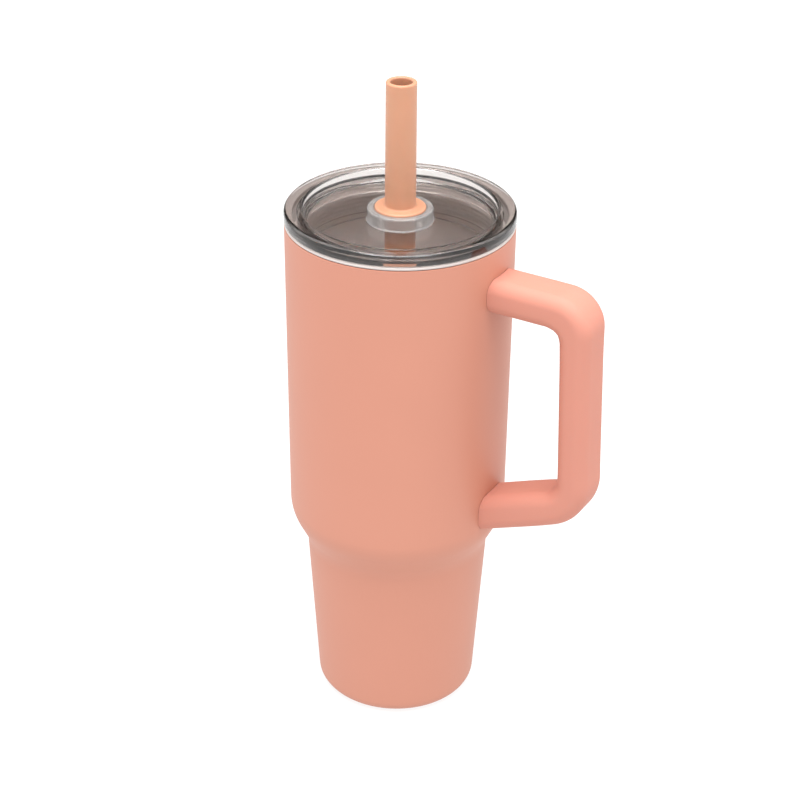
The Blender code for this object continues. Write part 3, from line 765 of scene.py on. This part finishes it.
# %% [markdown]
# ## The handle
# A loop of one rounded section, swept along a centre line: straight out at the top,
# round a tight bend, down the slightly leaning grip, round a wide bend and back in on a
# slope. That is a rule, so a second node tree makes it: it rounds the line's corners,
# carries the section along, thickens the arms towards their roots, and fills the inside
# of the tight upper bend with a small web.

# %% The handle's sweep tree
BEND_STEPS, EDGE_STEPS = 48, 12


def make_sweep_tree():
    sizes = ("Width", "Edge radius", "Grip thickness", "Upper thickness", "Lower thickness",
             "Taper start", "Taper end", "Upper bend", "Lower bend", "Step", "Web at",
             "Web depth", "Web start", "Web end")
    tree, source = new_tree("handle_sweep", {
        **{label: "Float" for label in sizes}, "Material": "Material"})
    given = source.outputs
    place = add_node(tree, "GeometryNodeInputPosition")
    parts = add_node(tree, "ShaderNodeSeparateXYZ", {"Vector": place.outputs[0]})
    flat = add_node(tree, "ShaderNodeCombineXYZ", {
        "X": parts.outputs["X"], "Y": parts.outputs["Z"]})
    laid = add_node(tree, "GeometryNodeSetPosition", {
        "Geometry": given["Geometry"], "Position": flat.outputs[0]})
    line = add_node(tree, "GeometryNodeMeshToCurve", {0: laid.outputs[0]})
    index = add_node(tree, "GeometryNodeInputIndex")
    upper = add_node(tree, "ShaderNodeMath", {0: index.outputs[0], 1: 1.5},
                     operation="LESS_THAN")
    bends = add_node(tree, "ShaderNodeMix", {
        0: upper.outputs[0], 2: given["Lower bend"], 3: given["Upper bend"]})
    bent = add_node(tree, "GeometryNodeFilletCurve", {
        "Curve": line.outputs[0], "Count": BEND_STEPS, "Radius": bends.outputs[0]},
        mode="POLY")
    even = add_node(tree, "GeometryNodeResampleCurve", {
        "Curve": bent.outputs[0], "Length": given["Step"]}, mode="LENGTH")
    upright = add_node(tree, "GeometryNodeSetCurveNormal", {
        "Curve": even.outputs[0]}, mode="Z_UP")
    along = add_node(tree, "GeometryNodeSplineParameter")
    whole = add_node(tree, "GeometryNodeSplineLength")
    rest = add_node(tree, "ShaderNodeMath", {
        0: whole.outputs["Length"], 1: along.outputs["Length"]}, operation="SUBTRACT")
    near = add_node(tree, "ShaderNodeMath", {
        0: rest.outputs[0], 1: along.outputs["Length"]}, operation="MINIMUM")
    at_top = add_node(tree, "ShaderNodeMath", {
        0: along.outputs["Length"], 1: rest.outputs[0]}, operation="LESS_THAN")
    arm = add_node(tree, "ShaderNodeMix", {
        0: at_top.outputs[0], 2: given["Lower thickness"], 3: given["Upper thickness"]})
    thick = add_node(tree, "ShaderNodeMapRange", {
        "Value": near.outputs[0], "From Min": given["Taper start"],
        "From Max": given["Taper end"], "To Min": arm.outputs[0],
        "To Max": given["Grip thickness"]}, interpolation_type="SMOOTHSTEP")
    extra = add_node(tree, "ShaderNodeMath", {
        0: thick.outputs["Result"], 1: given["Grip thickness"]}, operation="SUBTRACT")
    half = add_node(tree, "ShaderNodeMath", {0: extra.outputs[0], 1: 0.5},
                    operation="MULTIPLY")
    normal = add_node(tree, "GeometryNodeInputNormal")
    shift = add_node(tree, "ShaderNodeVectorMath", {
        0: normal.outputs[0], "Scale": half.outputs[0]}, operation="SCALE")
    from_bend = add_node(tree, "ShaderNodeMath", {
        0: along.outputs["Length"], 1: given["Web at"]}, operation="SUBTRACT")
    away = add_node(tree, "ShaderNodeMath", {0: from_bend.outputs[0]}, operation="ABSOLUTE")
    web = add_node(tree, "ShaderNodeMapRange", {
        "Value": away.outputs[0], "From Min": given["Web end"], "From Max": given["Web start"],
        "To Min": 0.0, "To Max": given["Web depth"]}, interpolation_type="SMOOTHSTEP")
    fill = add_node(tree, "ShaderNodeVectorMath", {
        0: normal.outputs[0], "Scale": web.outputs["Result"]}, operation="SCALE")
    kept = add_node(tree, "GeometryNodeCaptureAttribute")
    kept.capture_items.new("VECTOR", "shift")
    kept.capture_items.new("VECTOR", "fill")
    tree.links.new(upright.outputs[0], kept.inputs["Geometry"])
    tree.links.new(shift.outputs[0], kept.inputs["shift"])
    tree.links.new(fill.outputs[0], kept.inputs["fill"])
    frame_shape = add_node(tree, "GeometryNodeCurvePrimitiveQuadrilateral", {
        0: given["Grip thickness"], 1: given["Width"]})
    section = add_node(tree, "GeometryNodeFilletCurve", {
        "Curve": frame_shape.outputs[0], "Count": EDGE_STEPS,
        "Radius": given["Edge radius"]}, mode="POLY")
    side = add_node(tree, "ShaderNodeMath", {0: parts.outputs["X"]}, operation="SIGN")
    marked = add_node(tree, "GeometryNodeCaptureAttribute")
    marked.capture_items.new("FLOAT", "side")
    tree.links.new(section.outputs[0], marked.inputs["Geometry"])
    tree.links.new(side.outputs[0], marked.inputs["side"])
    swept = add_node(tree, "GeometryNodeCurveToMesh", {
        "Curve": kept.outputs["Geometry"], "Profile Curve": marked.outputs["Geometry"],
        "Fill Caps": True})
    offset = add_node(tree, "ShaderNodeVectorMath", {
        0: kept.outputs["shift"], "Scale": marked.outputs["side"]}, operation="SCALE")
    inner = add_node(tree, "ShaderNodeMath", {0: marked.outputs["side"], 1: 0.0},
                     operation="MAXIMUM")
    inwards = add_node(tree, "ShaderNodeVectorMath", {
        0: kept.outputs["fill"], "Scale": inner.outputs[0]}, operation="SCALE")
    both = add_node(tree, "ShaderNodeVectorMath", {
        0: offset.outputs[0], 1: inwards.outputs[0]}, operation="ADD")
    widened = add_node(tree, "GeometryNodeSetPosition", {
        "Geometry": swept.outputs[0], "Offset": both.outputs[0]})
    stood = add_node(tree, "GeometryNodeTransform", {
        "Geometry": widened.outputs[0], "Rotation": (math.radians(90), 0, 0)})
    close_tree(tree, source, stood.outputs[0])
    return tree


HANDLE_SWEEP = make_sweep_tree()
print("tree:", HANDLE_SWEEP.name, "with", len(HANDLE_SWEEP.nodes), "nodes")

# %% [markdown]
# The arm ends are cut to the curve of the wall, with a hairline gap, and each arm has a
# pocket for its bracket and a counterbored hole below for its screw. The cuts are made
# with exact Boolean modifiers on a throwaway object, and the result is kept as a mesh.

# %% Handle
SWEEP_STEP, CUT_ABOVE, CUT_BELOW, CUT_INSIDE = 0.7, 20, 40, 12

grip_x = MOUTH_RADIUS + HANDLE_REACH
root_x = MOUTH_RADIUS - UPPER_THICKNESS / 2
upper_bend_middle = grip_x - root_x - UPPER_BEND * (1 - math.pi / 4)
slope = math.tan(math.radians(LOWER_ARM_RISE))
handle_line = [
    (root_x, UPPER_ARM_LEVEL), (grip_x, UPPER_ARM_LEVEL),
    (grip_x + HANDLE_LEAN, LOWER_ARM_LEVEL + (HANDLE_REACH + HANDLE_LEAN) * slope),
    (root_x, LOWER_ARM_LEVEL - (MOUTH_RADIUS - root_x) * slope),
]
handle_raw = node_object(
    "handle_raw", HANDLE_SWEEP, [(x * MM, 0.0, z * MM) for x, z in handle_line],
    [(0, 1), (1, 2), (2, 3)], {
        "Width": HANDLE_WIDTH * MM, "Edge radius": HANDLE_EDGE * MM,
        "Grip thickness": GRIP_THICKNESS * MM, "Upper thickness": UPPER_THICKNESS * MM,
        "Lower thickness": LOWER_THICKNESS * MM,
        "Taper start": TAPER_START * MM, "Taper end": TAPER_END * MM,
        "Upper bend": UPPER_BEND * MM, "Lower bend": LOWER_BEND * MM,
        "Step": SWEEP_STEP * MM, "Web at": upper_bend_middle * MM,
        "Web depth": WEB_DEPTH * MM, "Web start": WEB_START * MM, "Web end": WEB_END * MM,
        "Material": HANDLE_PLASTIC})


def arm_matrix(level, rise_degrees):
    """Place at the wall with local X out along the arm and local Z square to it."""
    place = Matrix.Translation((wall_radius(level) * MM, 0, level * MM))
    return place @ Matrix.Rotation(-math.radians(rise_degrees), 4, "Y")


def block_at(name, low, high, matrix):
    """A plain block between two corners in millimetres, placed by a matrix."""
    build = bmesh.new()
    bmesh.ops.create_cube(build, size=1.0)
    size = [(b - a) * MM for a, b in zip(low, high)]
    middle = [(a + b) / 2 * MM for a, b in zip(low, high)]
    bmesh.ops.scale(build, vec=size, verts=build.verts)
    bmesh.ops.translate(build, vec=middle, verts=build.verts)
    bmesh.ops.transform(build, matrix=matrix, verts=build.verts)
    mesh = bpy.data.meshes.new(name)
    build.to_mesh(mesh)
    build.free()
    obj = bpy.data.objects.new(name, mesh)
    bpy.context.scene.collection.objects.link(obj)
    return obj


def turned_cutter(name, outline, matrix=None, steps=192):
    """A turned solid for a cut, placed by a matrix where it isn't on the cup's axis."""
    cutter = turned(name, [Vector(p) for p in outline], HANDLE_PLASTIC, steps, closed=False)
    if matrix:
        cutter.data.transform(matrix)
    return cutter


high, low = SHELL_TOP + CUT_ABOVE, SHOULDER_TOP - CUT_BELOW
cutters = [turned_cutter("wall_cutter", [
    (0, high), (wall_radius(high) + HANDLE_GAP, high),
    (wall_radius(low) + HANDLE_GAP, low), (0, low)])]
for level, rise, thickness in [
    (UPPER_ARM_LEVEL, 0.0, UPPER_THICKNESS),
    (LOWER_ARM_LEVEL, LOWER_ARM_RISE, LOWER_THICKNESS),
]:
    matrix = arm_matrix(level, rise)
    half_width = BRACKET_WIDTH / 2 + GAP
    half_height = thickness / 2 - BRACKET_COVER + GAP
    cutters.append(block_at("pocket_cutter", (-CUT_INSIDE, -half_width, -half_height),
                            (BRACKET_LENGTH + GAP, half_width, half_height), matrix))
    seat = thickness / 2 - HEAD_HOLE_DEPTH
    along = matrix @ Matrix.Translation((SCREW_REACH * MM, 0, 0))
    cutters.append(turned_cutter("hole_cutter", [
        (0, 0), (SHANK_HOLE_RADIUS, 0), (SHANK_HOLE_RADIUS, -seat),
        (HEAD_HOLE_RADIUS, -seat), (HEAD_HOLE_RADIUS, -thickness), (0, -thickness)],
        along, steps=48))
for cutter in cutters:
    modifier = handle_raw.modifiers.new("cut", "BOOLEAN")
    modifier.operation = "DIFFERENCE"
    modifier.solver = "EXACT"
    modifier.object = cutter
handle = plain_mesh(handle_raw, "moulded_handle")
for cutter in cutters:
    bpy.data.objects.remove(cutter)
print("handle faces:", len(handle.data.polygons))

# %% [markdown]
# ## Putting the pieces on their bodies
# Each piece rides on the body it moves with and stands for its plain version in the frame.
# The table also lists each piece's material slot name, which the loop doesn't use.

# %% Bodies, stand-ins and slots
for piece, body, node, slot in [
    (outer_shell, "cup", "outer_shell", "powder_coat"),
    (liner, "cup", "inner_liner", "stainless_steel"),
    (base_cover, "cup", "base_cover", "powder_coat"),
    (handle, "cup", "handle", "handle_plastic"),
    (lid, "lid", "lid_body", "clear_copolyester"),
    (seal, "lid", "lid_seal", "seal_silicone"),
    (mouthpiece, "straw", "straw_mouthpiece", "straw_silicone"),
    (straw_tube, "straw", "straw_tube", "straw_plastic"),
]:
    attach(piece, body)
    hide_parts(node)
    print(f"{piece.name} rides on {body} and stands for {node}")

KEPT = {
    "bottom_plate": PLATE_STEEL, "vacuum_seal_bead": SOLDER, "getter_pill": GETTER_ALLOY,
    "upper_bracket": PLATE_STEEL, "lower_bracket": PLATE_STEEL,
    "upper_screw": SCREW_STEEL, "lower_screw": SCREW_STEEL,
    "upper_screw_plug": HANDLE_PLASTIC, "lower_screw_plug": HANDLE_PLASTIC,
}
for node, material in KEPT.items():
    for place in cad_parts[node].material_slots:
        place.material = material
print("kept nodes with a new finish:", len(KEPT))

# %% [markdown]
# ## Table, light and camera
# The cup stands on a white light table in a white room: the table's own glow lifts the
# shadows, so the ground stays nearly pure white. The far wall of the room is dark, and
# the lid's thick clear edge picks it up as a dark band at the front. A wide softbox
# overhead gives the tops of the handle, the lid and the straw's stop their paler tone.

# %% Table
REACH, DROP = 3.0, 0.0002

floor_mesh = bpy.data.meshes.new("light_table")
floor_mesh.from_pydata(
    [(-REACH, -REACH, 0), (REACH, -REACH, 0), (REACH, REACH, 0), (-REACH, REACH, 0)],
    [], [(0, 1, 2, 3)])
floor = bpy.data.objects.new("light_table", floor_mesh)
bpy.context.scene.collection.objects.link(floor)
floor_mesh.materials.append(new_material("white_acrylic_light_table", {
    "Base Color": from_hex("#6c6c6c"), "Roughness": 0.8,
    "Emission Color": (1, 1, 1, 1), "Emission Strength": 0.85})[0])
floor.location.z = -DROP
print("table:", 2 * REACH, "m square")

# %% Room and softbox
ROOM_LIGHT, FAR_WALL_LIGHT, FAR_WALL = 1.4, 0.04, (-0.505, 0.863, 0.0)

scene = bpy.context.scene
world = bpy.data.worlds.new("white_room")
scene.world = world
world.use_nodes = True
room = world.node_tree
facing = add_node(room, "ShaderNodeVectorMath", {
    0: add_node(room, "ShaderNodeTexCoord").outputs["Generated"], 1: FAR_WALL},
    operation="DOT_PRODUCT")
walls = add_node(room, "ShaderNodeMapRange", {
    "Value": facing.outputs["Value"], "From Min": 0.4, "From Max": 0.8,
    "To Min": ROOM_LIGHT, "To Max": FAR_WALL_LIGHT}, interpolation_type="SMOOTHSTEP")
background = room.nodes["Background"]
background.inputs["Color"].default_value = (1, 1, 1, 1)
room.links.new(walls.outputs["Result"], background.inputs["Strength"])


def softbox(name, place, target, width, height, power):
    """A rectangular lamp at one place, turned to face another."""
    lamp = bpy.data.lights.new(name, "AREA")
    lamp.shape = "RECTANGLE"
    lamp.size, lamp.size_y = width, height
    lamp.energy = power
    obj = bpy.data.objects.new(name, lamp)
    scene.collection.objects.link(obj)
    obj.location = place
    obj.rotation_euler = (Vector(target) - Vector(place)).to_track_quat("-Z", "Y").to_euler()
    return obj


overhead = softbox("overhead_softbox", place=(0.15, -0.3, 4.2), target=(0, 0, 0.15),
                   width=3.0, height=3.0, power=260.0)
print("softbox:", overhead.name, overhead.data.energy, "W")

# %% Camera
STAND, AZIMUTH, TILT, ROLL = (math.radians(a) for a in (30.357, 30.306, 29.454, 0.585))
DISTANCE, HEIGHT, SENSOR_MM, LENS_MM = 0.778, 0.5871, 36.0, 89.94

away = Vector((math.sin(STAND), -math.cos(STAND), 0)) * DISTANCE
look = Vector((-math.sin(AZIMUTH) * math.cos(TILT), math.cos(AZIMUTH) * math.cos(TILT),
               -math.sin(TILT)))
level_right = look.cross(Vector((0, 0, 1))).normalized()
level_up = level_right.cross(look)
right = level_right * math.cos(ROLL) + level_up * math.sin(ROLL)
up = right.cross(look)
lens = bpy.data.cameras.new("camera")
lens.sensor_width = SENSOR_MM
lens.lens = LENS_MM
camera = bpy.data.objects.new("camera", lens)
scene.collection.objects.link(camera)
camera.matrix_world = Matrix((
    (right.x, up.x, -look.x, away.x),
    (right.y, up.y, -look.y, away.y),
    (right.z, up.z, -look.z, HEIGHT),
    (0, 0, 0, 1)))
scene.camera = camera
scene.view_settings.view_transform = "Standard"
scene.cycles.max_bounces = 32
scene.cycles.diffuse_bounces = 8
scene.cycles.glossy_bounces = 20
scene.cycles.transmission_bounces = 24
print("camera at", [round(c, 3) for c in camera.location])
